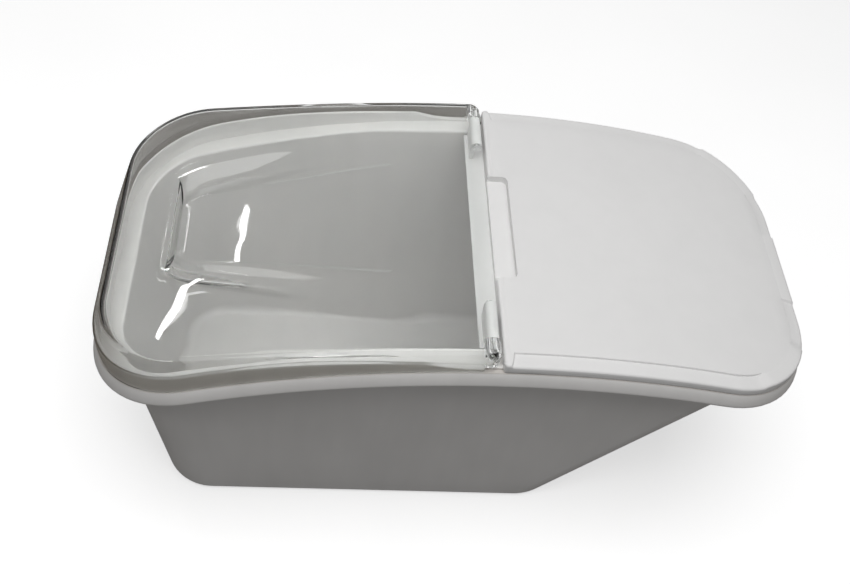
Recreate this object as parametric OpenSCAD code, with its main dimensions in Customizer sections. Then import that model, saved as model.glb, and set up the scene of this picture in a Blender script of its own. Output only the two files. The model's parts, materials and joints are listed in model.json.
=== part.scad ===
// Shelf bin for rice with an arched rim, a fixed rear cover and a clear flip lid.
// Frame: origin under the middle of the rim on the base plane, +X to the rear, +Z up.
// The lid opens about the hinge pins, which lie along Y near the top of the arch.

/* [Rim] */
// Length over the rim
rim_l = 600; // [540:5:680]
// Width over the rim
rim_w = 290; // [260:2:330]
// Height of the rim's lower edge at the top of the arch
rim_z = 256; // [232:4:300]
// Radius of the arch that the rim follows in front of its highest point
arch_front = 776; // [700:4:1200]
// Radius of the arch behind its highest point
arch_rear = 880; // [700:20:1200]
// Where the arch is highest, measured from the middle
apex_x = 38; // [6:2:60]
// Plan radius of the rim's corners
rim_corner = 88; // [72:1:96]
// Height of the rim's outer bead
bead_h = 14; // [10:0.5:16]
// Thickness of the rim plate and its outer lip
rim_t = 2.8; // [2.2:0.1:3.4]
// Height of the locating ridge on the rim
ridge_h = 1.5; // [1:0.1:2]
// Distance from the rim's outer edge to the ridge
ridge_inset = 9; // [8:0.5:11]
// Width of the ridge
ridge_w = 3; // [2:0.2:4]

/* [Tub] */
// Wall thickness of the tub
wall = 2.6; // [2:0.1:3.4]
// Distance from the middle to the front of the base
base_front = 252; // [236:2:262]
// Distance from the middle to the rear of the base
base_rear = 126; // [96:5:166]
// Width of the base
base_w = 216; // [190:2:236]
// Plan radius of the base's corners
base_corner = 45; // [38:1:50]
// Radius between the base and the walls
base_round = 10; // [6:1:14]
// Depth of the hollow under the base
foot_h = 1.5; // [1:0.1:2.2]
// Width of the foot that runs round the hollow
foot_w = 14; // [10:1:20]
// Overhang of the rim past the side and front walls
side_inset = 23; // [20:0.5:26]
// Overhang of the rim past the rear wall
rear_inset = 30; // [26:1:40]

/* [Rear cover] */
// Distance from the hinge axis to the cover's front edge
cover_gap_x = 8.7; // [8.4:0.1:10]
// Setback of the cover and the lid from the rim's outer edge
edge_inset = 4; // [3:0.5:5]
// Thickness of the cover
cover_t = 2.5; // [2:0.1:3]
// Height of the cover's top above the rim's land
cover_h = 10; // [8:0.5:12]
// Depth of the sunk border strips
strip_d = 2; // [1.2:0.1:2.4]
// Width of the sunk border strips
strip_w = 12; // [8:1:15]
// Length of the finger recess
recess_l = 112; // [90:2:130]
// Width of the finger recess behind the cover's front edge
recess_w = 17; // [14:1:22]
// Depth of the finger recess
recess_d = 6.5; // [5:0.5:7]

/* [Flip lid] */
// Thickness of the clear lid
lid_t = 2.5; // [2:0.1:3]
// Height of the lid's top above the rim's land at the hinge
lid_h = 21; // [19:0.5:24]
// Height of the lid's upright skirt at the hinge
skirt_h = 11; // [9:0.5:12]
// How much taller the skirt is at the front
skirt_grow = 11; // [6:0.5:14]
// How much higher over the rim the lid's top is at the front
crown_grow = 38; // [24:1:44]
// How far the lid's front wall leans back over its height
front_lean = 10; // [4:1:14]
// Width of the sloping shoulder
shoulder_w = 5; // [4.5:0.5:7]
// Distance from the hinge axis to the bend where the sloped panel begins
panel_start = 48; // [36:2:60]
// Half the panel's width at the bend
panel_wide = 106; // [96:1:112]
// Half the panel's width at the grip wall
panel_narrow = 49; // [40:1:60]
// Distance from the lid's front edge to the grip wall
grip_setback = 61; // [50:1:80]
// Depth of the panel at the grip wall
grip_d = 9.5; // [6:0.5:11]

/* [Hinge] */
// Distance from the middle of the rim to the hinge axis
hinge_x = 18; // [10:1:30]
// Diameter of the hinge pins
pin_d = 4; // [3:0.2:4.4]
// Radial running clearance of the pin in the lid
pin_play = 0.05; // [0.02:0.01:0.1]
// Radius of the lid's rounded rear edge about the axis
knuckle_r = 7.5; // [7:0.1:7.9]
// Radius of the cover's hinge lugs
lug_r = 4.5; // [4:0.1:4.6]
// Length of a hinge lug
lug_l = 34; // [24:1:44]
// Length of a lid ear
ear_l = 13; // [10:0.5:13.5]

/* [Hidden] */

// Clearance between parts that seat on each other
seat_gap = 0.3;
// Clearance of parts that pass each other in motion
move_gap = 0.5;
// Outlines are sampled at these shares of a quarter turn, of a long side and of half an end
corner_steps = [0, 0.115, 0.23, 0.255, 0.38, 0.5, 0.62, 0.745, 0.77, 0.885, 1];
side_steps = [0.012, 0.022, 0.09, 0.17, 0.25, 0.33, 0.41, 0.49, 0.57, 0.65, 0.73, 0.81, 0.89, 0.96];
end_steps = [0.15, 0.42, 0.64, 0.67];

half_l = rim_l / 2;
half_w = rim_w / 2;
land = bead_h;
hinge_land = arch_z(hinge_x) + land;
hinge_z = hinge_land + lid_h - knuckle_r;
cover_x = hinge_x + cover_gap_x;
cover_end = half_l - edge_inset;
cover_half = half_w - edge_inset;
edge_corner = rim_corner - edge_inset;
mouth_half = half_w - side_inset;
mouth_front = half_l - side_inset - 4;
mouth_rear = half_l - rear_inset;
mouth_corner = 50;
ear_in = mouth_half - 0.5;
lug_out = ear_in - move_gap;
lid_rear = hinge_x + knuckle_r;
lid_corner = 12;

// Height of the arch over the plan position x
function arch_z(x) = let (r = x < apex_x ? arch_front : arch_rear)
    rim_z + sqrt(r * r - pow(x - apex_x, 2)) - r;
function mix(a, b, t) = a + (b - a) * t;

// Near half of a rounded outline, from the front end to the rear end.
// xa and xb are its ends, w its half width, ra and rb its front and rear corner radii.
function near_half(xa, xb, w, ra, rb) = concat(
    [for (e = end_steps) [xa, -(w - ra) * e]],
    [for (c = corner_steps) let (a = 180 + 90 * c) [xa + ra + ra * cos(a), -w + ra + ra * sin(a)]],
    [for (f = side_steps) [mix(xa + ra, xb - rb, f), -w]],
    [for (c = corner_steps) let (a = 270 + 90 * c) [xb - rb + rb * cos(a), -w + rb + rb * sin(a)]],
    [for (k = [len(end_steps) - 1:-1:0]) [xb, -(w - rb) * end_steps[k]]]);

// Both halves in one turn, counter-clockwise from above
function whole(h) = concat(h, [for (i = [len(h) - 1:-1:0]) [h[i][0], -h[i][1], h[i][2]]]);

// A ring that stays a height above the arch
function arch_ring(xa, xb, w, ra, rb, up) =
    whole([for (p = near_half(xa, xb, w, ra, rb)) [p[0], p[1], arch_z(p[0]) + up]]);

// A solid skinned over rings of points. It starts with the ring in the middle of its underside
// and ends with the one in the middle of its top; these two are closed across.
module skin(rings) {
    n = len(rings[0]);
    m = len(rings);
    e = len(end_steps);
    far = n / 2 - 2 - e;
    sides = [for (k = [0:m - 2]) for (i = [0:n - 1]) let (j = (i + 1) % n)
        each [[k * n + i, (k + 1) * n + i, (k + 1) * n + j], [k * n + i, (k + 1) * n + j, k * n + j]]];
    cap = concat(
        [concat([for (i = [n - 2 - e:n - 1]) i], [for (i = [0:e + 1]) i])],
        [for (i = [e + 1:far - 1]) [i, i + 1, n - 2 - i, n - 1 - i]],
        [[for (i = [far:n - 1 - far]) i]]);
    under = cap;
    upper = [for (f = cap) [for (i = [len(f) - 1:-1:0]) (m - 1) * n + f[i]]];
    polyhedron([for (r = rings) each r], concat(sides, under, upper), convexity = 8);
}

// The same list from its end to its start
function turned(list) = [for (i = [len(list) - 1:-1:0]) list[i]];

// Tub walls: the outline at height z, drawn in by t, runs straight from base to rim
front_z = arch_z(-mouth_front);
rear_z = arch_z(mouth_rear);
function wall_half(z, t) = near_half(
    -mix(base_front, mouth_front, z / front_z) + t,
    mix(base_rear, mouth_rear, z / rear_z) - t,
    mix(base_w / 2, mouth_half, z / rim_z) - t,
    mix(base_corner, mouth_corner, z / rim_z) - t,
    mix(base_corner, mouth_corner, z / rim_z) - t);
function wall_ring(z, t) = whole([for (p = wall_half(z, t)) [p[0], p[1], z]]);

// The same outline where it meets a surface that lies a height above the arch
function meet(i, t, up, z, n) = let (p = wall_half(z, t)[i])
    n == 0 ? [p[0], p[1], z] : meet(i, t, up, arch_z(p[0]) + up, n - 1);
function wall_top_ring(t, up) =
    whole([for (i = [0:len(wall_half(0, 0)) - 1]) meet(i, t, up, front_z, 4)]);

// Rim outline drawn in by t
function rim_ring(t, up) =
    arch_ring(-half_l + t, half_l - t, half_w - t, rim_corner - t, rim_corner - t, up);

module bin() {
    floor_z = foot_h + wall;
    inner_round = base_round - wall / 2;
    rings = concat(
        [wall_ring(foot_h, base_round + foot_w + 4), wall_ring(foot_h, base_round + foot_w + 1),
         wall_ring(0, base_round + foot_w)],
        [for (a = [0:30:90]) wall_ring(base_round * (1 - cos(a)), base_round * (1 - sin(a)))],
        [wall_top_ring(0, land - rim_t - 4), wall_top_ring(-2, land - rim_t),
         rim_ring(rim_t + 1, land - rim_t), rim_ring(rim_t, land - rim_t - 1),
         rim_ring(rim_t - 0.2, 0.6), rim_ring(rim_t - 0.8, 0), rim_ring(0.9, 0),
         rim_ring(0.2, 0.7), rim_ring(0, 1.8), rim_ring(0, land - 3.4),
         rim_ring(0.6, land - 1.4), rim_ring(1.6, land - 0.4), rim_ring(3, land),
         rim_ring(ridge_inset, land), rim_ring(ridge_inset + 0.4, land + ridge_h),
         rim_ring(ridge_inset + ridge_w - 0.4, land + ridge_h), rim_ring(ridge_inset + ridge_w, land),
         wall_top_ring(wall - 2.4, land), wall_top_ring(wall - 0.8, land - 0.6),
         wall_top_ring(wall, land - 2.4)],
        [for (a = [90:-30:0])
            wall_ring(floor_z + inner_round * (1 - cos(a)), wall + inner_round * (1 - sin(a)))],
        [wall_ring(floor_z, base_round + foot_w + 6)]);
    color("whitesmoke") skin(rings);
}

// Sunk strips: along both long sides into the rear corners, and on the rear end beside its middle
side_from = len(end_steps) + len(corner_steps) + 1;
side_to = side_from + len(side_steps) + 1;
rear_from = side_to + 6;
rear_to = rear_from + 3;
function strip_at(i) = (i >= side_from && i <= side_to) || (i >= rear_from && i <= rear_to) ? 1 : 0;

// Cover outline drawn in by t, sunk along the strips by the share s of their depth
function cover_ring(t, up, s) = let (
    front = cover_x + min(t, cover_t) + 0.2 * max(t - cover_t, 0),
    h = near_half(front, cover_end - t, cover_half - t, max(3 - t, 1), edge_corner - t))
    whole([for (i = [0:len(h) - 1]) [h[i][0], h[i][1], arch_z(h[i][0]) + up - strip_d * s * strip_at(i)]]);

module cover_shell() {
    top = land + cover_h;
    under = top - cover_t;
    lip_half = mouth_half - wall - 1.5;
    lip_rear = mouth_rear - wall - 7;
    lip_front = cover_x + recess_w + 8;
    lip_r = mouth_corner - 6;
    rings = [
        arch_ring(cover_x + 16, cover_end - 40, cover_half - 40, 4, edge_corner - 20, top),
        cover_ring(strip_w + 1, top, 0),
        cover_ring(strip_w, top, 1),
        cover_ring(1.8, top, 1),
        cover_ring(0.6, top - 0.5, 1),
        cover_ring(0, top - 1.7, 1),
        cover_ring(0, land + seat_gap, 0),
        cover_ring(cover_t - 0.1, land + seat_gap, 0),
        cover_ring(cover_t, under - 1, 1),
        cover_ring(cover_t + 1, under, 1),
        cover_ring(strip_w - 1, under, 1),
        cover_ring(strip_w + 0.6, under, 0),
        arch_ring(lip_front, lip_rear, lip_half, 6, lip_r, under),
        arch_ring(lip_front + 0.4, lip_rear - 0.4, lip_half - 0.4, 6, lip_r, land - 5),
        arch_ring(lip_front + 2.2, lip_rear - 2.2, lip_half - 2.2, 6, lip_r - 2, land - 5),
        arch_ring(lip_front + 2.6, lip_rear - 2.6, lip_half - 2.6, 6, lip_r - 2, under),
        arch_ring(lip_front + 10, lip_rear - 30, lip_half - 30, 6, lip_r - 20, under)];
    skin(turned(rings));
}

// Its content, and the same mirrored to the far side
module both_sides() {
    children();
    mirror([0, 1, 0])
        children();
}

// Block with two rounded corners behind the cover's front edge, w its length along Y
module front_block(from, w, depth, z0, z1, r) {
    translate([cover_x, 0, z0])
        linear_extrude(z1 - z0)
            union() {
                translate([from, -w / 2])
                    square([depth - r - from, w]);
                translate([from, -w / 2 + r])
                    square([depth - from, w - 2 * r]);
                for (s = [-1, 1])
                    translate([depth - r, s * (w / 2 - r)])
                        circle(r, $fn = 48);
            }
}

module hinge_lugs() {
    shelf_z = hinge_z - knuckle_r - 10;
    flange_top = hinge_land + cover_h - cover_t - 0.5;
    shelf_half = mouth_half - wall - 2;
    shelf_x = -cover_gap_x - lug_r - 3;
    // deep front flange with the shelf that carries the lugs
    translate([cover_x, shelf_half, shelf_z])
        rotate([90, 0, 0])
            linear_extrude(2 * shelf_half)
                polygon([[shelf_x, 0], [cover_t, 0], [cover_t, flange_top - shelf_z],
                         [0, flange_top - shelf_z], [0, cover_t], [shelf_x, cover_t]]);
    both_sides() {
        // lug round the pin, and the web that carries it from the shelf
        translate([hinge_x, -lug_out + lug_l, hinge_z])
            rotate([90, 0, 0])
                cylinder(r = lug_r, h = lug_l, $fn = 64);
        translate([hinge_x - lug_r, -shelf_half, shelf_z + 1])
            cube([lug_r - 0.5, lug_l - 4, hinge_z - shelf_z - 1]);
    }
}

module rear_cover() {
    top_z = arch_z(cover_x + recess_w / 2) + land + cover_h;
    floor_z = top_z - recess_d;
    color("white")
        difference() {
            union() {
                cover_shell();
                front_block(0, recess_l + 5, recess_w + 2.5, floor_z - 2.2, top_z - 1, 7);
                hinge_lugs();
            }
            front_block(-3, recess_l, recess_w, floor_z, top_z + 5, 5);
            // the front wall steps over the rim's locating ridge
            both_sides()
                translate([cover_x - 1, -half_w + ridge_inset - 1, hinge_land - 2])
                    cube([cover_t + 3, ridge_w + 2, ridge_h + 2 + move_gap]);
            both_sides()
                translate([hinge_x, -lug_out + lug_l + 1, hinge_z])
                    rotate([90, 0, 0])
                        cylinder(d = pin_d + 0.04, h = lug_l + 2, $fn = 48);
        }
}

// Lid: its skirt and its top stand higher over the rim toward the front
function lid_share(x) = max(0, (hinge_x - x) / (hinge_x + half_l));
function lid_break(x) = skirt_h + skirt_grow * (1 - cos(180 * min(1, lid_share(x) / 0.55))) / 2;
function lid_top(x) = lid_h + crown_grow * pow(lid_share(x), 2.5);

// A ring on the lid drawn in by t: s is 0 at the skirt's break and 1 at the top, up a height added
function lid_ring(t, s, up) = let (
    lean = front_lean * s,
    h = near_half(-half_l + edge_inset + t + lean, lid_rear - t, cover_half - t,
        edge_corner - t - 1.4 * lean, max(lid_corner - t, 3)))
    whole([for (p = h) [p[0], p[1], arch_z(p[0]) + land + mix(lid_break(p[0]), lid_top(p[0]), s) + up]]);

// The lid's foot, drawn in by t
function lid_foot(t) = arch_ring(-half_l + edge_inset + t, lid_rear - t, cover_half - t, edge_corner - t,
    max(lid_corner - t, 3), land + seat_gap);

// The sloped panel: its depth grows from the bend to the grip wall while its width shrinks
panel_rear = hinge_x - panel_start;
panel_front = -half_l + edge_inset + grip_setback;
function panel_share(x) = (panel_rear - x) / (panel_rear - panel_front);
function panel_ring(t, deep, up) = let (
    h = near_half(panel_front + t, panel_rear - t, panel_wide - t, 16, 10))
    whole([for (p = h) let (u = panel_share(p[0]), w = mix(panel_wide, panel_narrow, u) / panel_wide)
        [p[0], p[1] * w, arch_z(p[0]) + land + lid_top(p[0]) - deep * grip_d * u + up]]);

module lid_shell() {
    rings = [
        panel_ring(20, 1, 0),
        panel_ring(3.5, 1, 0),
        panel_ring(0, 0, 0),
        lid_ring(shoulder_w + 2.5, 1, 0),
        lid_ring(shoulder_w, 1, -0.5),
        lid_ring(shoulder_w - 1.6, 1, -2),
        lid_ring(1, 0, 0.4),
        lid_ring(0.2, 0, -1),
        lid_foot(0),
        lid_foot(lid_t - 0.3),
        lid_ring(lid_t, 0, -1.6),
        lid_ring(shoulder_w + 0.6, 1, -2.4 - lid_t),
        lid_ring(shoulder_w + 3, 1, -lid_t),
        panel_ring(-lid_t * 0.6, 0, -lid_t),
        panel_ring(3.5 - lid_t * 0.6, 1, -lid_t),
        panel_ring(20, 1, -lid_t)];
    skin(turned(rings));
}

module lid_ears() {
    both_sides() {
        translate([hinge_x, -ear_in, hinge_z])
            rotate([90, 0, 0])
                cylinder(r = pin_d / 2 + 3.2, h = ear_l, $fn = 64);
        translate([hinge_x - knuckle_r + 1, -ear_in - ear_l, hinge_z - 1])
            cube([knuckle_r, ear_l, knuckle_r - 0.4]);
    }
}

module flip_lid() {
    reach = 40;
    color("lightcyan", 0.45)
        difference() {
            union() {
                lid_shell();
                lid_ears();
            }
            // room for the lugs: the rear edge is set back between the ears
            translate([lid_rear - 3.2, -ear_in, hinge_z - reach])
                cube([reach, 2 * ear_in, 2 * reach]);
            translate([hinge_x, ear_in, hinge_z])
                rotate([90, 0, 0])
                    cylinder(r = lug_r + move_gap, h = 2 * ear_in, $fn = 96);
            // below the axis only the knuckle's radius is left, so that it turns over the rim
            difference() {
                translate([hinge_x - 6, -half_w, hinge_z - 2 * knuckle_r])
                    cube([reach, rim_w, 2 * knuckle_r]);
                translate([hinge_x, half_w + 1, hinge_z])
                    rotate([90, 0, 0])
                        cylinder(r = knuckle_r, h = rim_w + 2, $fn = 128);
            }
            both_sides()
                translate([hinge_x, -ear_in + 1, hinge_z])
                    rotate([90, 0, 0])
                        cylinder(d = pin_d + 2 * pin_play, h = ear_l - 2, $fn = 48);
        }
}

// Near pin: its shank runs through the lug into the ear, its head rests on the lug's inner end
module hinge_pin() {
    head_y = -lug_out + lug_l;
    color("silver")
        union() {
            translate([hinge_x, head_y, hinge_z])
                rotate([90, 0, 0])
                    cylinder(d = pin_d, h = head_y + ear_in + ear_l - 4, $fn = 48);
            translate([hinge_x, head_y + 1.8, hinge_z])
                rotate([90, 0, 0])
                    cylinder(d = pin_d + 2.4, h = 1.8, $fn = 48);
        }
}

module hinge_pin_near() {
    hinge_pin();
}

module hinge_pin_far() {
    mirror([0, 1, 0])
        hinge_pin();
}

bin();
rear_cover();
flip_lid();
hinge_pin_near();
hinge_pin_far();
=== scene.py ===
# %% [markdown]
# # A shelf bin for rice, with a rear cover and a clear flip lid
#
# The bin is three plastic mouldings and two short wires: a white tub with an arched rolled rim, a
# white cover over the rear of the rim, and a clear lid over the front that turns on the wires.
# The measured model gives every piece its place. This lesson dresses it: each moulding is drawn
# again with finer steps and rounder edges than a measured model needs, and then it gets its
# finish.

# %% Load the measured frame
import json
import math

import bmesh
import bpy
from mathutils import Matrix, Vector


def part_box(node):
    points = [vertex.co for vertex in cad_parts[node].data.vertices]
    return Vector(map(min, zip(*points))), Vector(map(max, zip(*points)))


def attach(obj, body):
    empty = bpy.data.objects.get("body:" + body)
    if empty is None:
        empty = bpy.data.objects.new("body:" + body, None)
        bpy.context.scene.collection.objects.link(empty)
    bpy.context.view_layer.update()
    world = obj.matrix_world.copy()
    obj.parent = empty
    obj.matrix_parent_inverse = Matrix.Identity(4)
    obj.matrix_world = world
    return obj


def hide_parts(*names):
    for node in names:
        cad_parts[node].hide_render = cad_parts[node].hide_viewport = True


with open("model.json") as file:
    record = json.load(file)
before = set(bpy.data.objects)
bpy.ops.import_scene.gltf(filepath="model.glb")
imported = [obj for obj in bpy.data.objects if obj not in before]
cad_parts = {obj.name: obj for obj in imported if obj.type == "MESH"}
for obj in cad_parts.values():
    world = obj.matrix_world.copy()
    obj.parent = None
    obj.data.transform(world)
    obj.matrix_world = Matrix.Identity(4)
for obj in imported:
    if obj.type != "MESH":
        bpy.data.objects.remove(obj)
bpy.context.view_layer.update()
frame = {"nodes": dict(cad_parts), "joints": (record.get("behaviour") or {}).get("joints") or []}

MM = 0.001
bin_low, bin_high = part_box("bin")
hinge = Vector(next(j for j in frame["joints"] if j["name"] == "lid_hinge")["pos_m"])
print("rim", [round(v / MM, 1) for v in bin_high - bin_low], "mm; hinge at", list(hinge))

# %% [markdown]
# ## The arch
# The rim is not flat. Seen from the side it is a long, low arch, a little tighter in front of its
# highest point than behind it, and the cover and the lid follow it. One function gives its
# height, so all three mouldings agree wherever they meet. A drawn curve and a Shrinkwrap modifier
# would also bend them, but each would need its own, and a small error would open a gap between
# them.

# %% Height of the arch and the sizes that all mouldings share
APEX_X = 38 * MM
ARCH_FRONT = 776 * MM
ARCH_REAR = 880 * MM
RIM_Z = 256 * MM
LAND = 14 * MM
EDGE_INSET = 4 * MM
SEAT_GAP = 0.3 * MM
half_long, half_wide = bin_high.x, bin_high.y


def arch(x):
    """Height of the rim's lower edge at x."""
    radius = ARCH_FRONT if x < APEX_X else ARCH_REAR
    return RIM_Z + math.sqrt(radius**2 - (x - APEX_X) ** 2) - radius


def mix(a, b, share):
    """The value that lies a share of the way from a to b."""
    return a + (b - a) * share


print("arch falls", round((arch(APEX_X) - arch(-half_long)) / MM, 1), "mm to the front and",
      round((arch(APEX_X) - arch(half_long)) / MM, 1), "mm to the rear")

# %% [markdown]
# ## Outlines and lofts
# Each moulding is a rounded rectangle in plan whose size changes with height. A loft suits that:
# a circle of vertices is laid on the first outline, its edges are extruded, the new vertices are
# laid on the next outline, and so on round the section until the skin closes. Every outline has
# the same number of points, closer together where a strip or a corner ends, so no vertex is ever
# twisted. A subdivided cage would be shorter to write, but it pulls in at the corners and misses
# the frame.

# %% A rounded rectangle as a ring of points
CORNER_SHARES = [0, 0.06, 0.12, 0.18, 0.225, 0.255, 0.32, 0.38, 0.44, 0.5,
                 0.56, 0.62, 0.68, 0.745, 0.775, 0.83, 0.89, 0.945, 1]
SIDE_SHARES = [0.012, 0.02] + [0.02 + 0.96 * k / 24 for k in range(1, 24)]
END_SHARES = [0.08, 0.16, 0.26, 0.36, 0.46, 0.56, 0.64, 0.67, 0.78, 0.9]


def outline(front, rear, half, r_front, r_rear):
    """Points round a rounded rectangle, from the middle of its front along the near side."""
    near = [(front, -(half - r_front) * s) for s in [0] + END_SHARES]
    near += [(front + r_front - r_front * math.cos(math.pi / 2 * s),
              -half + r_front - r_front * math.sin(math.pi / 2 * s)) for s in CORNER_SHARES]
    near += [(mix(front + r_front, rear - r_rear, s), -half) for s in SIDE_SHARES]
    near += [(rear - r_rear + r_rear * math.sin(math.pi / 2 * s),
              -half + r_rear - r_rear * math.cos(math.pi / 2 * s)) for s in CORNER_SHARES]
    near += [(rear, -(half - r_rear) * s) for s in END_SHARES[::-1] + [0]]
    return near + [(x, -y) for x, y in near[-2:0:-1]]


POINTS = len(outline(-1, 1, 1, 0.1, 0.1))


def over_arch(plan, up):
    """The outline laid a height above the arch; up is a number, or a function of x."""
    return [Vector((x, y, arch(x) + (up(x) if callable(up) else up))) for x, y in plan]


def drawn_in(plan, share, up):
    """The outline shrunk towards its middle by a share, and laid over the arch."""
    xs = [x for x, _ in plan]
    middle = (min(xs) + max(xs)) / 2
    return over_arch([(mix(x, middle, share), mix(y, 0, share)) for x, y in plan], up)


print(POINTS, "points in every outline")

# %% The loft itself


SHARP_DEGREES = 35


def finish_mesh(mesh):
    """Smooth shading that stays crisp where two faces meet at a sharp edge."""
    mesh.shade_smooth()
    mesh.set_sharp_from_angle(angle=math.radians(SHARP_DEGREES))


def new_object(name, bm):
    """An object at the origin with the bmesh as its mesh."""
    mesh = bpy.data.meshes.new(name)
    bm.to_mesh(mesh)
    bm.free()
    finish_mesh(mesh)
    made = bpy.data.objects.new(name, mesh)
    bpy.context.scene.collection.objects.link(made)
    return made


def lay(verts, ring):
    """Moves a circle's vertices onto a ring of places."""
    for vert, place in zip(verts, ring):
        vert.co = place


def loft(name, rings):
    """A closed skin through the rings, with its first and its last ring filled."""
    bm = bmesh.new()
    verts = bmesh.ops.create_circle(bm, cap_ends=False, segments=POINTS, radius=1)["verts"]
    lay(verts, rings[0])
    edges = list(bm.edges)
    bmesh.ops.contextual_create(bm, geom=edges)
    for ring in rings[1:]:
        grown = bmesh.ops.extrude_edge_only(bm, edges=edges)["geom"]
        fresh = {g for g in grown if isinstance(g, bmesh.types.BMVert)}
        verts = [next(e.other_vert(v) for e in v.link_edges if e.other_vert(v) in fresh)
                 for v in verts]
        lay(verts, ring)
        edges = [g for g in grown if isinstance(g, bmesh.types.BMEdge)
                 and all(v in fresh for v in g.verts)]
    bmesh.ops.contextual_create(bm, geom=edges)
    bmesh.ops.recalc_face_normals(bm, faces=bm.faces)
    made = new_object(name, bm)
    print(name, len(rings), "rings,", len(made.data.polygons), "faces")
    return made


# %% [markdown]
# ## The tub
# The tub is one white moulding. Its walls lean out from a narrow base, the rear wall far more
# than the front one, so that rice slides forward and the bin can be pulled out under a shelf. The
# rim rolls outward into a bead that stiffens it. A ridge on its flat land keeps the cover and the
# lid from sliding: it is low under the cover and stands taller inside the lid's clear skirt,
# where it shows through. The loft starts under the base, climbs the outside, goes over the rim
# and returns down the inside, so the wall has its real thickness everywhere. A box with a
# Solidify modifier would be quicker, but its wall can't roll over into a bead.

# %% Sizes of the tub
WALL = 2.6 * MM
RIM_CORNER = 88 * MM
RIM_T = 2.8 * MM
BASE_FRONT, BASE_REAR = -252 * MM, 126 * MM
BASE_HALF = 108 * MM
BASE_CORNER, MOUTH_CORNER = 45 * MM, 50 * MM
BASE_ROUND = 10 * MM
FOOT_H, FOOT_W = 1.5 * MM, 14 * MM
STRAIGHT_TOP = 190 * MM
mouth_half = half_wide - 23 * MM
mouth_front = -half_long + 27 * MM
mouth_rear = half_long - 30 * MM
front_z, rear_z = arch(mouth_front), arch(mouth_rear)
UNDER_FLARE, UNDER_ROUND = 2 * MM, 4 * MM
print("mouth", round((mouth_rear - mouth_front) / MM), "x", round(2 * mouth_half / MM), "mm")

# %% Outlines of the wall and of the rim


def wall_plan(z, inset):
    """The tub's outline at height z, drawn in from the outside of its wall."""
    corner = max(mix(BASE_CORNER, MOUTH_CORNER, z / RIM_Z) - inset, 2 * MM)
    return outline(mix(BASE_FRONT, mouth_front, z / front_z) + inset,
                   mix(BASE_REAR, mouth_rear, z / rear_z) - inset,
                   mix(BASE_HALF, mouth_half, z / RIM_Z) - inset, corner, corner)


def wall_ring(z, inset):
    """The wall's outline laid flat at height z."""
    return [Vector((x, y, z)) for x, y in wall_plan(z, inset)]


def wall_meets(inset, up):
    """Where the wall meets the surface that lies a height above the arch."""
    ring = []
    for i in range(POINTS):
        z = front_z
        for _ in range(5):
            x, y = wall_plan(z, inset)[i]
            z = arch(x) + up
        ring.append(Vector((x, y, z)))
    return ring


def rim_ring(inset, up):
    """The rim's outline drawn in and laid a height above the arch."""
    corner = RIM_CORNER - inset
    return over_arch(outline(-half_long + inset, half_long - inset, half_wide - inset,
                             corner, corner), up)


def quarter(steps):
    """Sines and cosines along a quarter turn, for rounding an edge."""
    return [(math.sin(math.pi / 2 * k / steps), math.cos(math.pi / 2 * k / steps))
            for k in range(steps + 1)]


print("wall stands", round(front_z / MM), "mm high in front,", round(rear_z / MM), "at the rear")

# %% Underside and outside of the tub
INNER_ROUND = BASE_ROUND - WALL / 2
floor_z = FOOT_H + WALL
foot_in = BASE_ROUND + FOOT_W

tub_rings = [wall_ring(FOOT_H, foot_in + 30 * MM), wall_ring(FOOT_H, foot_in + 1.2 * MM),
             wall_ring(FOOT_H - 0.3 * MM, foot_in + 0.4 * MM), wall_ring(0.3 * MM, foot_in),
             wall_ring(0, foot_in - 0.5 * MM)]
tub_rings += [wall_ring(BASE_ROUND * (1 - c), BASE_ROUND * (1 - s)) for s, c in quarter(8)]
tub_rings += [wall_ring(mix(BASE_ROUND, STRAIGHT_TOP, k / 6), 0) for k in range(1, 7)]
tub_rings += [wall_meets(-UNDER_FLARE * (1 - c), LAND - RIM_T - UNDER_ROUND * (1 - s))
              for s, c in quarter(4)]
print("up to the rim:", len(tub_rings), "rings")

# %% Lip and bead of the rim
# The lip is (inset in mm, height over the arch); the bead is part round and part flat slope.
LIP = ((RIM_T / MM + 2, LAND - RIM_T), (RIM_T / MM + 0.6, LAND - RIM_T - 0.3 * MM),
       (RIM_T / MM, LAND - RIM_T - 1.2 * MM), (2.6, 1.2 * MM), (2.3, 0.4 * MM), (1.9, 0),
       (1.1, 0), (0.4, 0.5 * MM), (0, 1.6 * MM))
BEAD_IN, BEAD_UP = 3.9 * MM, 11.4 * MM
BEAD_STEPS, BEAD_FLAT = 8, 0.65

tub_rings += [rim_ring(inset * MM, up) for inset, up in LIP]
tub_rings += [rim_ring(BEAD_IN * mix(1 - c, k / BEAD_STEPS, BEAD_FLAT),
                       LAND - BEAD_UP * mix(1 - s, 1 - k / BEAD_STEPS, BEAD_FLAT))
              for k, (s, c) in enumerate(quarter(BEAD_STEPS))]
print("up to the top of the bead:", len(tub_rings), "rings")

# %% Ridge on the rim
# The section is (inset in mm, share of the ridge's height).
RIDGE = ((7.0, 0), (7.2, 0.08), (7.4, 0.86), (8.1, 1), (10.2, 1), (10.9, 0.86), (11.2, 0.08),
         (11.6, 0))
RIDGE_LOW, RIDGE_TALL, RIDGE_GROW = 1.5, 8.5, 8
STEP_X, STEP_RUN = -8 * MM, 24 * MM
GROW_X, GROW_RUN = -20 * MM, 180 * MM


def eased(share):
    """0 to 1 without a kink at either end."""
    share = min(1.0, max(0.0, share))
    return share * share * (3 - 2 * share)


def ridge_up(share):
    """A share of the ridge's height: low under the cover, taller inside the lid's skirt."""
    def up(x):
        inside = eased((STEP_X - x) / STEP_RUN)
        front = eased((GROW_X - x) / GROW_RUN)
        return LAND + share * (mix(RIDGE_LOW, RIDGE_TALL, inside) + RIDGE_GROW * front) * MM
    return up


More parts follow.
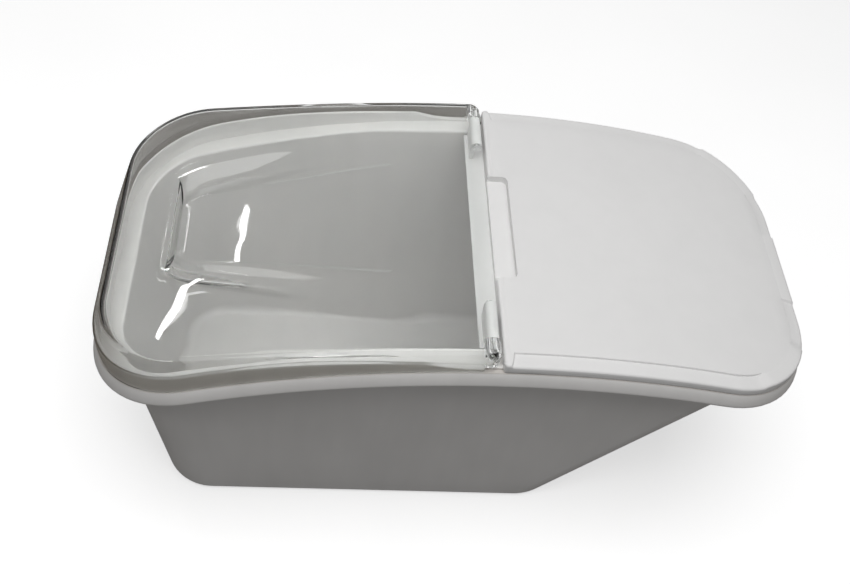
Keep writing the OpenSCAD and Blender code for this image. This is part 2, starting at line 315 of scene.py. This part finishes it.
groove_rings = range(len(tub_rings) - 1, len(tub_rings) + 3)
tub_rings += [rim_ring(inset * MM, ridge_up(share)) for inset, share in RIDGE]
print("ridge", RIDGE_LOW, "mm high at the rear and", RIDGE_TALL + RIDGE_GROW, "mm in front")

# %% Inside of the tub, and its loft
MOUTH_R = 2.4 * MM

tub_rings += [wall_meets(WALL - MOUTH_R * (1 - s), LAND - MOUTH_R * (1 - c))
              for s, c in quarter(5)]
tub_rings += [wall_ring(mix(STRAIGHT_TOP, floor_z + INNER_ROUND, k / 6), WALL) for k in range(6)]
tub_rings += [wall_ring(floor_z + INNER_ROUND * (1 - s), WALL + INNER_ROUND * (1 - c))
              for s, c in quarter(8)]
tub_rings += [wall_ring(floor_z, foot_in + 10 * MM), wall_ring(floor_z, foot_in + 30 * MM)]
tub = loft("tub", tub_rings)
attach(tub, "bin_body")
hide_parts("bin")

# %% [markdown]
# ## Painted shade in the groove
# The groove outside the ridge is painted greyer than the rest, as shade painted into the colour.
# Its place follows the rim's rings and not a plane, so it is written into the mesh as a number on
# each vertex, 1 in the groove and 0 elsewhere, and the white finish reads it. Vertices are
# numbered ring by ring, because the loft makes them in that order.

# %% Mark the groove
# Painted shade: each vertex of the groove gets 1, and the white finish darkens the colour there.
dust = tub.data.attributes.new("dust", "FLOAT", "POINT")
marks = [float(i // POINTS in groove_rings) for i in range(len(tub.data.vertices))]
dust.data.foreach_set("value", marks)
print(int(sum(marks)), "of", len(marks), "vertices lie in the groove")

# %% [markdown]
# ## Cutting and joining solids
# Some forms are not lofts: the finger recess is a pocket, the hinge lugs are short rods, and the
# lid is cut back to pass them. They are plain solids that are joined to a moulding or taken out
# of it. The boolean modifier does that on closed meshes, and its result replaces the mesh at
# once, so what is left is a plain mesh with nothing live on it.

# %% Helpers for solids


def block(name, low, high, round_rear=0.0):
    """A box between two corners, with its two upright rear edges rounded if asked."""
    bm = bmesh.new()
    bmesh.ops.create_cube(bm, size=1)
    low, high = Vector(low), Vector(high)
    bmesh.ops.scale(bm, vec=high - low, verts=bm.verts)
    bmesh.ops.translate(bm, vec=(low + high) / 2, verts=bm.verts)
    if round_rear:
        upright = [e for e in bm.edges if all(v.co.x > (low.x + high.x) / 2 for v in e.verts)
                   and abs(e.verts[0].co.z - e.verts[1].co.z) > 1e-6]
        bmesh.ops.bevel(bm, geom=upright, offset=round_rear, segments=10, profile=0.5,
                        affect="EDGES", material=-1)
    return new_object(name, bm)


def rod(name, y_from, y_to, radius, segments=96):
    """A rod round the hinge axis."""
    bm = bmesh.new()
    bmesh.ops.create_cone(bm, cap_ends=True, segments=segments, radius1=radius, radius2=radius,
                          depth=abs(y_to - y_from))
    bmesh.ops.rotate(bm, matrix=Matrix.Rotation(math.pi / 2, 3, "X"), verts=bm.verts)
    bmesh.ops.translate(bm, vec=(hinge.x, (y_from + y_to) / 2, hinge.z), verts=bm.verts)
    return new_object(name, bm)


def combine(target, operation, *tools):
    """Joins the tools to the target, or takes them out of it, and removes them."""
    for tool in tools:
        change = target.modifiers.new(operation, "BOOLEAN")
        change.operation, change.solver, change.object = operation, "EXACT", tool
        seen = target.evaluated_get(bpy.context.evaluated_depsgraph_get())
        mesh = bpy.data.meshes.new_from_object(seen)
        target.modifiers.clear()
        target.data = mesh
        bpy.data.objects.remove(tool)
    finish_mesh(target.data)
    return target


# %% [markdown]
# ## The rear cover
# The cover is the white moulding over the rear of the rim. Its top keeps the arch, with a
# slightly sunk strip along each side and beside the middle of its rear edge, and a pocket for the
# fingers in its front edge. Under that edge hangs a shelf with two lugs, which carry the lid's
# pins. The loft makes the shell, and the pocket, the shelf and the lugs are solids. The strips
# are sunk by lowering some points of the loft's rings, which follows the corners as no straight
# cut would.

# %% Sizes of the cover, and which points of its rings are sunk
COVER_T = 2.5 * MM
COVER_H = 10 * MM
STRIP_D, STRIP_W = 2 * MM, 12 * MM
COVER_BEHIND = 8.7 * MM
FRONT_SHARE = 0.2
cover_x = hinge.x + COVER_BEHIND
cover_end = half_long - EDGE_INSET
cover_half = half_wide - EDGE_INSET
cover_corner = RIM_CORNER - EDGE_INSET
SIDE_START = 1 + len(END_SHARES) + len(CORNER_SHARES)
REAR_CORNER = SIDE_START + len(SIDE_SHARES)
strip_marks = {*range(SIDE_START + 1, REAR_CORNER + 5), *range(REAR_CORNER + 14, REAR_CORNER + 22)}
strip_marks |= {POINTS - i for i in strip_marks}
print(len(strip_marks), "of", POINTS, "points of a ring are sunk")

# %% Outlines of the cover
top, under = LAND + COVER_H, LAND + COVER_H - COVER_T
lip_half = mouth_half - WALL - 1.5 * MM
lip_rear = mouth_rear - WALL - 7 * MM
lip_front = cover_x + 25 * MM
LIP_CORNER = MOUTH_CORNER - 6 * MM


def cover_ring(inset, up, sunk=0.0):
    """The cover's outline drawn in, less so at its front edge, and sunk along the strips."""
    front = cover_x + min(inset, COVER_T) + FRONT_SHARE * max(inset - COVER_T, 0)
    plan = outline(front, cover_end - inset, cover_half - inset, max(3 * MM - inset, MM),
                   cover_corner - inset)
    ring = over_arch(plan, up)
    for i in strip_marks:
        ring[i].z -= STRIP_D * sunk
    return ring


def lip_ring(inset, up):
    """The inner lip's outline, which hangs into the mouth under the cover."""
    return over_arch(outline(lip_front + inset, lip_rear - inset, lip_half - inset,
                             6 * MM, LIP_CORNER - inset), up)


print("lip", round((lip_rear - lip_front) / MM), "x", round(2 * lip_half / MM), "mm")

# %% Loft the cover's shell
# The edge is (inset in mm, height under the top in mm, share of the strips' depth), and the foot
# is (inset in mm, height over the arch). Both fields inside them close towards their middle.
EDGE = ((13.2, 0, 0), (12.7, -0.05, 0.06), (12.2, -0.05, 0.9), (11.8, 0, 1), (4, 0, 1), (2, 0, 1),
        (1.1, -0.25, 1), (0.45, -0.8, 1), (0.1, -1.6, 0.9), (0, -2.2, 0.7))
FOOT = ((0, LAND + 3 * MM), (0, LAND + 0.8 * MM), (0.35, LAND + SEAT_GAP), (2, LAND + SEAT_GAP),
        (2.4, LAND + 0.8 * MM))
FIELD_STEPS, FIELD_CLOSE = 12, 0.985
LIP_LOW, LIP_T = LAND - 5 * MM, 2.6 * MM

cover_plan = [(p.x, p.y) for p in cover_ring(STRIP_W + MM, 0)]
cover_rings = [drawn_in(cover_plan, FIELD_CLOSE, top)]
cover_rings += [drawn_in(cover_plan, 1 - k / FIELD_STEPS, top) for k in range(1, FIELD_STEPS)]
cover_rings += [cover_ring(inset * MM, top + up * MM, sunk) for inset, up, sunk in EDGE]
cover_rings += [cover_ring(inset * MM, up) for inset, up in FOOT]
cover_rings += [cover_ring(COVER_T, under - 2 * MM, 1), cover_ring(COVER_T + MM, under, 1),
                cover_ring(STRIP_W - MM, under, 1), cover_ring(STRIP_W + 0.6 * MM, under, 0),
                lip_ring(0, under), lip_ring(0.4 * MM, LIP_LOW + 0.4 * MM),
                lip_ring(0.8 * MM, LIP_LOW), lip_ring(1.8 * MM, LIP_LOW),
                lip_ring(2.2 * MM, LIP_LOW + 0.4 * MM), lip_ring(LIP_T, under)]
lip_plan = [(p.x, p.y) for p in lip_ring(LIP_T, 0)]
cover_rings += [drawn_in(lip_plan, k / FIELD_STEPS, under) for k in range(1, FIELD_STEPS)]
cover_rings += [drawn_in(lip_plan, FIELD_CLOSE, under)]
cover = loft("cover", cover_rings)

# %% Sizes of the pocket, the shelf and the lugs
RECESS_L, RECESS_W, RECESS_D = 112 * MM, 17 * MM, 6.5 * MM
PIN_D, KNUCKLE_R, LUG_R, LUG_L = 4 * MM, 7.5 * MM, 4.5 * MM, 34 * MM
ear_in = mouth_half - 0.5 * MM
lug_out = ear_in - 0.5 * MM
shelf_half = mouth_half - WALL - 2 * MM
shelf_z = hinge.z - KNUCKLE_R - 10 * MM
pocket_top = arch(cover_x + RECESS_W / 2) + LAND + COVER_H
pocket_floor = pocket_top - RECESS_D
hinge_land = arch(hinge.x) + LAND
print("pocket", round(RECESS_D / MM, 1), "mm deep; lugs reach", round(lug_out / MM, 1), "mm out")

# %% Join the pocket's pan, the flange, the shelf and the lugs, and cut the bores
RIDGE_NOTCH = half_wide - 6.4 * MM, half_wide - 13 * MM
PRESS_GAP = 0.02 * MM
PAN_T, HOLLOW_R = 2.2 * MM, 5 * MM


def pocket(name, start, length, depth, low, high, radius):
    """A block in the cover's front edge, rounded at the rear."""
    return block(name, (cover_x + start, -length / 2, low), (cover_x + depth, length / 2, high),
                 round_rear=radius)


combine(
    cover, "UNION",
    pocket("pan", 0, RECESS_L + 2 * COVER_T, RECESS_W + COVER_T, pocket_floor - PAN_T,
           pocket_top - MM, HOLLOW_R + 2 * MM),
    block("flange", (cover_x, -shelf_half, shelf_z),
          (cover_x + COVER_T, shelf_half, hinge_land + COVER_H - COVER_T - 0.5 * MM)),
    block("shelf", (cover_x - COVER_BEHIND - LUG_R - 3 * MM, -shelf_half, shelf_z),
          (cover_x + 0.5 * MM, shelf_half, shelf_z + COVER_T)))
for side in (-1, 1):
    lug_in = side * (lug_out - LUG_L)
    web = sorted((side * shelf_half, side * (shelf_half - LUG_L + 4 * MM)))
    step = sorted(side * y for y in RIDGE_NOTCH)
    combine(
        cover, "UNION",
        rod("lug", side * lug_out, lug_in, LUG_R),
        block("web", (hinge.x - LUG_R, web[0], shelf_z + MM),
              (hinge.x - 0.5 * MM, web[1], hinge.z)))
    combine(
        cover, "DIFFERENCE",
        block("step", (cover_x - MM, step[0], hinge_land - 2 * MM),
              (cover_x + COVER_T + 2 * MM, step[1], hinge_land + 2 * MM)),
        rod("bore", side * (lug_out + MM), lug_in - side * MM, PIN_D / 2 + PRESS_GAP, 48))
combine(cover, "DIFFERENCE",
        pocket("hollow", -3 * MM, RECESS_L, RECESS_W, pocket_floor, pocket_top + 5 * MM, HOLLOW_R))
print("cover", len(cover.data.polygons), "faces")
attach(cover, "cover_body")
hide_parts("rear_cover")

# %% [markdown]
# ## The clear lid
# The lid is one clear moulding, 2.5 mm thick. A skirt stands on the rim, a shoulder slopes in
# from it, and a wide panel sinks towards the front, where it ends in a short wall that the
# fingers pull on. Towards the front the skirt and the top stand higher over the rim, because the
# top is flatter than the arch. Clear plastic shows both of its faces, so the inner one is drawn
# as carefully as the outer one: it is the same loft, carried on round the foot and back under the
# top.

# %% Sizes of the lid
LID_T = 2.5 * MM
LID_H, SKIRT_H = 21 * MM, 11 * MM
SKIRT_GROW, CROWN_GROW = 11 * MM, 38 * MM
FRONT_LEAN = 10 * MM
SHOULDER_W = 5 * MM
PANEL_WIDE, PANEL_NARROW = 106 * MM, 55 * MM
GRIP_D = 9.5 * MM
LID_CORNER = 12 * MM
lid_rear = hinge.x + KNUCKLE_R
panel_rear = hinge.x - 48 * MM
panel_front = -half_long + EDGE_INSET + 61 * MM
SKIRT_FULL = 0.55  # share of the lid's length where the skirt has its full height
CROWN_POWER = 2.5  # the higher, the later the top rises towards the front
LEAN_CORNER = 1.4  # how fast the front corners tighten as the front leans back
print("panel", round((panel_rear - panel_front) / MM), "mm long")

# %% Heights and outlines of the lid


def lid_share(x):
    """0 at the hinge and 1 at the front of the rim."""
    return max(0.0, (hinge.x - x) / (hinge.x + half_long))


def lid_break(x):
    """Height of the skirt over the rim."""
    return SKIRT_H + SKIRT_GROW * (1 - math.cos(math.pi * min(1, lid_share(x) / SKIRT_FULL))) / 2


def lid_top(x):
    """Height of the lid's top over the rim."""
    return LID_H + CROWN_GROW * lid_share(x) ** CROWN_POWER


def lid_ring(inset, rise, up):
    """The lid's outline drawn in; rise is 0 at the top of the skirt and 1 at the lid's top."""
    lean = FRONT_LEAN * rise
    plan = outline(-half_long + EDGE_INSET + inset + lean, lid_rear - inset, cover_half - inset,
                   cover_corner - inset - LEAN_CORNER * lean, max(LID_CORNER - inset, 3 * MM))
    return over_arch(plan, lambda x: LAND + mix(lid_break(x), lid_top(x), rise) + up)


def lid_foot(inset, up=SEAT_GAP):
    """The skirt's outline close over the rim."""
    plan = outline(-half_long + EDGE_INSET + inset, lid_rear - inset, cover_half - inset,
                   cover_corner - inset, max(LID_CORNER - inset, 3 * MM))
    return over_arch(plan, LAND + up)


print("lid stands", round((lid_top(-half_long) + LAND) / MM), "mm over the arch in front")

# %% Outlines of the sloped panel
PANEL_FIELD_IN = 3.5 * MM


def panel_plan(inset):
    """The sloped panel in plan: it narrows from the bend to the grip wall."""
    plan = outline(panel_front + inset, panel_rear - 4 * inset, PANEL_WIDE - 10 * inset,
                   20 * MM, 12 * MM)
    return [(x, y * mix(1, PANEL_NARROW / PANEL_WIDE,
                        (panel_rear - x) / (panel_rear - panel_front))) for x, y in plan]


def panel_sink(x):
    """How far the panel lies under the lid's top: most at the grip wall."""
    return GRIP_D * (panel_rear - x) / (panel_rear - panel_front)


def panel_ring(inset, deep, up):
    """The panel's outline, sunk by a share of the panel's depth."""
    return over_arch(panel_plan(inset), lambda x: LAND + lid_top(x) - deep * panel_sink(x) + up)


def between(ring_a, ring_b, share, up):
    """A ring part of the way between two others in plan, on the lid's top."""
    plan = [(mix(a.x, b.x, share), mix(a.y, b.y, share)) for a, b in zip(ring_a, ring_b)]
    return over_arch(plan, lambda x: LAND + lid_top(x) + up)


def panel_field(shares, up):
    """Rings that close the sunk panel towards its middle."""
    return [drawn_in(panel_plan(PANEL_FIELD_IN), share,
                     lambda x: LAND + lid_top(x) - panel_sink(x) + up) for share in shares]


print("panel sinks", round(panel_sink(panel_front) / MM, 1), "mm at the grip wall")

# %% Rings of the lid's outer face
# The panel's edge is (inset in mm, share of the panel's depth), the crown's edge is (inset in mm,
# height in mm), and the shoulder is (inset in mm, rise, height in mm).
PANEL_EDGE = ((0.5, 0.03), (1.0, 0.12), (1.6, 0.3), (2.2, 0.5), (2.8, 0.7), (3.4, 0.88),
              (3.9, 0.97), (4.4, 1))
PANEL_SHARES = (0.1, 0.2, 0.3, 0.4, 0.5, 0.6, 0.7, 0.8, 0.9, 0.98)
CROWN_EDGE = ((7.5, 0), (6.4, -0.12), (5.3, -0.5), (4.3, -1.15), (3.5, -2.0))
SHOULDER = ((2.9, 0.72, -1.2), (2.3, 0.48, -0.6), (1.6, 0.24, 0), (1.0, 0.07, 0.2),
            (0.55, 0, -0.1), (0.22, 0, -0.9), (0.08, 0, -2.0))
CROWN_STEPS = 8

crown_out, crown_in = lid_ring(SHOULDER_W + 2.5 * MM, 1, 0), panel_ring(0, 0, 0)
lid_rings = panel_field(PANEL_SHARES[::-1], 0)
lid_rings += [panel_ring(inset * MM, deep, 0) for inset, deep in PANEL_EDGE[::-1]]
lid_rings += [between(crown_in, crown_out, k / CROWN_STEPS, 0) for k in range(CROWN_STEPS)]
lid_rings += [lid_ring(inset * MM, 1, up * MM) for inset, up in CROWN_EDGE]
lid_rings += [lid_ring(inset * MM, rise, up * MM) for inset, rise, up in SHOULDER]
print("outer face:", len(lid_rings), "rings")

# %% Foot and inner face of the lid, and its loft
INNER_SHOULDER = ((2.5, 0, -2.2), (2.75, 0, -1.2), (3.3, 0.1, -1.1), (4.1, 0.3, -1.5),
                  (5.0, 0.62, -2.9), (5.6, 1, -4.9), (6.3, 1, -3.7), (7.2, 1, -2.9),
                  (8.4, 1, -2.5))
INNER_PANEL_OUT = 1.5

lid_rings += [lid_foot(0, 4 * MM), lid_foot(0, 0.8 * MM), lid_foot(0.3 * MM),
              lid_foot(LID_T - 0.6 * MM), lid_foot(LID_T - 0.3 * MM, 0.8 * MM),
              lid_foot(LID_T - 0.2 * MM, 4 * MM)]
lid_rings += [lid_ring(inset * MM, rise, up * MM) for inset, rise, up in INNER_SHOULDER]
crown_out = lid_ring(INNER_SHOULDER[-1][0] * MM, 1, 0)
crown_in = panel_ring(-INNER_PANEL_OUT * MM, 0, 0)
lid_rings += [between(crown_out, crown_in, (k + 1) / CROWN_STEPS, -LID_T)
              for k in range(CROWN_STEPS)]
lid_rings += [panel_ring((inset - INNER_PANEL_OUT) * MM, deep, -LID_T)
              for inset, deep in PANEL_EDGE]
lid_rings += panel_field(PANEL_SHARES, -LID_T)
lid = loft("lid", lid_rings)

# %% [markdown]
# ## Where the lid turns
# Two ears at the lid's rear corners turn on the pins, each a short rod round the hinge line with
# a root that joins it to the top. Between the ears the lid is cut back round the lugs, and behind
# and below the hinge line it is cut to a round knuckle, so that nothing catches the cover as it
# opens.

# %% Ears of the lid, and the room it leaves for the lugs
EAR_L, EAR_T = 13 * MM, 3.2 * MM
PIN_GAP = 0.05 * MM
REACH = 40 * MM
for side in (-1, 1):
    ear = sorted((side * ear_in, side * (ear_in + EAR_L)))
    combine(lid, "UNION",
            rod("ear", ear[0], ear[1], PIN_D / 2 + EAR_T),
            block("ear_root", (hinge.x - KNUCKLE_R + MM, ear[0], hinge.z - MM),
                  (hinge.x + MM, ear[1], hinge.z + KNUCKLE_R - 1.4 * MM)))
below = combine(
    block("below", (hinge.x - 6 * MM, -half_wide, hinge.z - 2 * KNUCKLE_R),
          (hinge.x + REACH, half_wide, hinge.z)),
    "DIFFERENCE", rod("knuckle", -half_wide - MM, half_wide + MM, KNUCKLE_R, 128))
combine(lid, "DIFFERENCE",
        block("behind", (lid_rear - 3.2 * MM, -ear_in, hinge.z - REACH),
              (lid_rear + REACH, ear_in, hinge.z + REACH)),
        block("under_lug", (hinge.x, -ear_in, hinge.z - REACH),
              (hinge.x + REACH, ear_in, hinge.z - MM)),
        rod("lug_room", -ear_in, ear_in, LUG_R + 0.5 * MM),
        below,
        rod("near_bore", -ear_in + MM, -ear_in - EAR_L + 3 * MM, PIN_D / 2 + PIN_GAP, 48),
        rod("far_bore", ear_in - MM, ear_in + EAR_L - 3 * MM, PIN_D / 2 + PIN_GAP, 48))
print("lid", len(lid.data.polygons), "faces")
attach(lid, "lid_body")
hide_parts("flip_lid")

# %% [markdown]
# ## Writing finishes as sums
# A finish is a network of nodes, and a long network is hard to read as node calls. A small class
# wraps one output so that plus, minus and times add the Math node they stand for. One method
# makes every other node: it takes the node's type, its settings and the values or links of its
# sockets.

# %% The two helper classes


class Field:
    """A value that changes over a surface."""

    def __init__(self, finish, socket):
        self.finish, self.socket = finish, socket

    def _math(self, operation, left, right):
        return self.finish.node("ShaderNodeMath", {"operation": operation}, {0: left, 1: right})

    def __add__(self, other):
        return self._math("ADD", self, other)

    def __sub__(self, other):
        return self._math("SUBTRACT", self, other)

    def __rsub__(self, other):
        return self._math("SUBTRACT", other, self)

    def __mul__(self, other):
        return self._math("MULTIPLY", self, other)

    def __pow__(self, other):
        return self._math("POWER", self, other)

    __radd__ = __add__
    __rmul__ = __mul__


class Finish:
    """A material whose nodes are added by node()."""

    def __init__(self, name, **constants):
        self.material = bpy.data.materials.new(name)
        self.material.use_nodes = True
        self.tree = self.material.node_tree
        self.shader = self.tree.nodes["Principled BSDF"]
        for socket, value in constants.items():
            self.shader.inputs[socket.replace("_", " ")].default_value = value

    def node(self, kind, settings=None, sockets=None, output=0):
        """Any node: its type, its settings, and the values or links of its sockets."""
        made = self.tree.nodes.new(kind)
        for name, value in (settings or {}).items():
            if name == "stops":
                ramp = made.color_ramp.elements
                while len(ramp) < len(value):
                    ramp.new(1.0)
                for stop, (position, colour) in zip(ramp, value):
                    stop.position, stop.color = position, colour
            else:
                setattr(made, name, value)
        for name, value in (sockets or {}).items():
            if isinstance(value, Field):
                self.tree.links.new(value.socket, made.inputs[name])
            else:
                made.inputs[name].default_value = value
        return Field(self, made.outputs[output])

    def place(self):
        """Where a point of the surface is, in metres."""
        return self.node("ShaderNodeTexCoord", output="Object")

    def noise(self, scale, detail=3.0, stretch=(1, 1, 1)):
        """Soft noise from 0 to 1 with about this many lumps to the metre."""
        moved = self.node("ShaderNodeMapping", None, {"Vector": self.place(), "Scale": stretch})
        return self.node("ShaderNodeTexNoise", None,
                         {"Vector": moved, "Scale": scale, "Detail": detail})

    def ramp(self, value, *stops):
        """Colours along a value, each stop a position and a colour."""
        return self.node("ShaderNodeValToRGB", {"stops": stops}, {"Fac": value})

    def bump(self, height, strength, distance, under=None):
        """Relief that a height draws in the light, on top of another relief if given."""
        sockets = {"Height": height, "Strength": strength, "Distance": distance}
        if under is not None:
            sockets["Normal"] = under
        return self.node("ShaderNodeBump", None, sockets)

    def feed(self, **fields):
        """Links fields to the shader's sockets, with _ for a space in a socket's name."""
        for socket, field in fields.items():
            self.tree.links.new(field.socket, self.shader.inputs[socket.replace("_", " ")])

    def put_on(self, *objects):
        """Makes this the only material of the objects."""
        for thing in objects:
            thing.data.materials.clear()
            thing.data.materials.append(self.material)


def grey(value, warmth=0.0):
    """A near-neutral colour, warmer for a positive warmth."""
    return (value * (1 + warmth), value, value * (1 - warmth), 1)


# %% [markdown]
# ## White moulded plastic
# The tub and the cover are white polypropylene. Close up it is not smooth: the mould leaves a
# fine even grain, broad waves where the plastic cooled, and handling polishes and greys it a
# little. The grain is fine noise in a bump, the waves are broad noise under it, and the greying
# is a stretched noise in the colour, darker again as painted shade where the groove was marked.
# A picture of scuffs would look richer, but it would not fit another size.

# %% Finish of the tub and of the cover
# A darker, warmer grey that paints shade into the groove.
GROOVE_SHADE_GREY = grey(0.68, 0.04)


def white_plastic(name, light, dark, warmth, rough):
    """White between two greys, a little warm, with about the given roughness."""
    finish = Finish(name, IOR=1.49)
    broad = finish.noise(9, 2)
    scuffs = finish.noise(60, 5, (1, 1, 0.15))
    worn = finish.ramp(broad * 0.6 + scuffs * 0.4, (0.3, grey(dark, warmth)),
                       (0.62, grey(light, warmth)))
    # Painted shade: where the groove is marked, the colour is multiplied by that grey.
    groove_shade_mask = finish.node("ShaderNodeAttribute", {"attribute_name": "dust"}, output="Fac")
    groove_shaded = finish.node("ShaderNodeMixRGB", {"blend_type": "MULTIPLY"},
                        {"Fac": groove_shade_mask, "Color1": worn, "Color2": GROOVE_SHADE_GREY})
    finish.feed(Base_Color=groove_shaded, Roughness=rough - (0.5 - scuffs) * 0.16)
    waves = finish.bump(finish.noise(14, 1), 0.35, 1.2 * MM)
    finish.feed(Normal=finish.bump(finish.noise(1500, 2), 0.12, 0.05 * MM, waves))
    print(name, len(finish.tree.nodes), "nodes")
    return finish


white_plastic("tub_white", 0.79, 0.735, 0.018, 0.38).put_on(tub)
white_plastic("cover_white", 0.80, 0.77, 0.006, 0.42).put_on(cover)

# %% [markdown]
# ## Clear plastic
# The lid is clear, with a faint grey-green cast, and it really bends light: what looks like drawn
# lines round its edges is the rim seen through its shoulder. So the shader is a true transmitting
# one, and the wall has its thickness. Long waves in the surface break up the lamp's reflection,
# and faint smears and fine rubbing marks change the roughness. Plain see-through alpha would be
# simpler, but it loses those lines.

# %% Finish of the lid
clear = Finish("lid_clear", IOR=1.5, Transmission_Weight=1.0)
smears = clear.noise(22, 4, (1, 0.4, 1))
tint = clear.ramp(smears, (0.3, (0.935, 0.95, 0.94, 1)), (0.7, (0.96, 0.97, 0.96, 1)))
rubbing = clear.noise(240, 3, (1, 0.08, 1))
clear.feed(Base_Color=tint, Roughness=smears ** 2 * 0.07 + rubbing * 0.012)
clear.feed(Normal=clear.bump(clear.noise(16, 1), 0.5, 1.5 * MM))
clear.put_on(lid)
print("lid_clear", len(clear.tree.nodes), "nodes")

# %% [markdown]
# ## Pins
# The two pins are short lengths of drawn wire. Drawing leaves fine lines round them, so their
# roughness follows noise that is stretched along the wire.

# %% Finish of the pins
wire = Finish("drawn_wire", Metallic=1.0)
drawn = wire.noise(900, 2, (1, 0.05, 1))
wire.feed(Base_Color=wire.ramp(drawn, (0.3, grey(0.55)), (0.7, grey(0.68))),
          Roughness=drawn * 0.2 + 0.16)
wire.feed(Normal=wire.bump(drawn, 0.15, 0.05 * MM))
wire.put_on(frame["nodes"]["hinge_pin_near"], frame["nodes"]["hinge_pin_far"])
print("drawn_wire", len(wire.tree.nodes), "nodes")

# %% [markdown]
# ## Floor
# The bin stands on a sheet of pale paper. Only the camera sees the paper's glow, so the paper
# looks white without lighting the bin. In mirror reflections it is dark, as what stood under the
# real bin seems to have been, because the clear skirt then shows a dark band. The price is that
# the open lid looks smoky over the floor: a ray that slightly rough clear plastic has bent counts
# as a mirror ray too.

# %% Floor
bm = bmesh.new()
bmesh.ops.create_grid(bm, x_segments=2, y_segments=2, size=8)
floor = new_object("studio_floor", bm)
paper = Finish("pale_paper", Roughness=0.9, Specular_IOR_Level=0.1, Emission_Strength=0.52)
seen = paper.node("ShaderNodeLightPath", output="Is Camera Ray")
mirrored = paper.node("ShaderNodeLightPath", output="Is Glossy Ray")
fibres = paper.ramp(paper.noise(4, 3), (0.3, grey(0.76)), (0.7, grey(0.79)))
sheet = paper.node("ShaderNodeMixRGB", None,
                   {"Fac": mirrored, "Color1": fibres, "Color2": grey(0.12, 0.15)})
paper.feed(Base_Color=sheet, Emission_Color=paper.ramp(seen, (0, grey(0)), (1, grey(1))))
paper.put_on(floor)
floor.visible_diffuse = False
print("floor", [round(v, 1) for v in floor.dimensions[:2]], "m")

# %% [markdown]
# ## Light
# One wide soft lamp hangs over the bin, a little in front of it, so the top and the bead are
# light and the near wall, which leans under the rim, is in shade. A narrow lamp farther back on
# the left draws the bright streaks on the clear lid. The sky fills the shade, and it is written
# at three strengths: full where it is seen or mirrored, weak where it lights the white plastic in
# the open, and nearly full where its light has come through the clear lid.

# %% Lamps


def lamp(name, place, target, size, watts, turn=0):
    """A flat lamp that faces the target, turned round its own line of sight."""
    light = bpy.data.lights.new(name, "AREA")
    light.shape = "RECTANGLE"
    light.size, light.size_y = size
    light.energy = watts
    made = bpy.data.objects.new(name, light)
    bpy.context.scene.collection.objects.link(made)
    made.location = place
    aim = (Vector(target) - Vector(place)).to_track_quat("-Z", "Y").to_matrix()
    made.rotation_euler = (aim @ Matrix.Rotation(math.radians(turn), 3, "Z")).to_euler()
    return made


overhead = lamp("overhead", (-0.08, -0.36, 1.9), (0, 0, 0.2), (1.5, 1.2), 22.5)
overhead.visible_glossy = False
streak = lamp("streak", (-0.80, 0.92, 1.38), (-0.2, 0, 0.3), (0.02, 0.35), 0.6, turn=122)
print("lamps", overhead.data.energy, "and", round(streak.data.energy, 2), "W")

# %% Sky
SKY_SEEN, SKY_UNDER_LID, SKY_FILL = 0.95, 0.88, 0.188

world = bpy.data.worlds.new("studio")
world.use_nodes = True
bpy.context.scene.world = world
sky = world.node_tree
rays = sky.nodes.new("ShaderNodeLightPath")
under_lid = sky.nodes.new("ShaderNodeMapRange")
under_lid.inputs["To Min"].default_value = SKY_SEEN
under_lid.inputs["To Max"].default_value = SKY_UNDER_LID
sky.links.new(rays.outputs["Diffuse Depth"], under_lid.inputs["Value"])
fill = sky.nodes.new("ShaderNodeMapRange")
fill.inputs["To Max"].default_value = SKY_FILL
sky.links.new(under_lid.outputs["Result"], fill.inputs["To Min"])
sky.links.new(rays.outputs["Is Diffuse Ray"], fill.inputs["Value"])
sky.links.new(fill.outputs["Result"], sky.nodes["Background"].inputs["Strength"])
sky.nodes["Background"].inputs["Color"].default_value = (1, 1, 1, 1)
bpy.context.scene.view_settings.view_transform = "Standard"
print("sky", SKY_SEEN, SKY_UNDER_LID, SKY_FILL)

# %% [markdown]
# ## Camera
# The camera looks down from above the near side, a little rolled. Its place and its turns are
# those from which the perspective of the rim's arch, the base and the hinge line agrees best with
# the photograph. It is written as pitch, heading and roll, because those can be read and changed
# one by one, and three crossed directions turn them into the camera's own axes.

# %% Camera
FOCAL_SHARE = 1000 / 850
CAMERA_PLACE = Vector((-0.1136, -0.5528, 0.8923))
PITCH, HEADING, ROLL = (math.radians(v) for v in (51.6, 9.7, 10.25))
ahead = Vector((math.cos(PITCH) * math.sin(HEADING), math.cos(PITCH) * math.cos(HEADING),
                -math.sin(PITCH)))
level = ahead.cross(Vector((0, 0, 1))).normalized()
down = ahead.cross(level)
right = math.cos(ROLL) * level - math.sin(ROLL) * down
below_view = math.sin(ROLL) * level + math.cos(ROLL) * down
axes = Matrix((right, -below_view, -ahead)).transposed()

lens = bpy.data.cameras.new("photo_camera")
lens.sensor_width = 36
lens.lens = lens.sensor_width * FOCAL_SHARE
camera = bpy.data.objects.new("photo_camera", lens)
bpy.context.scene.collection.objects.link(camera)
camera.matrix_world = Matrix.Translation(CAMERA_PLACE) @ axes.to_4x4()
bpy.context.scene.camera = camera
print("camera", [round(v, 3) for v in camera.location], "lens", round(lens.lens, 1), "mm")
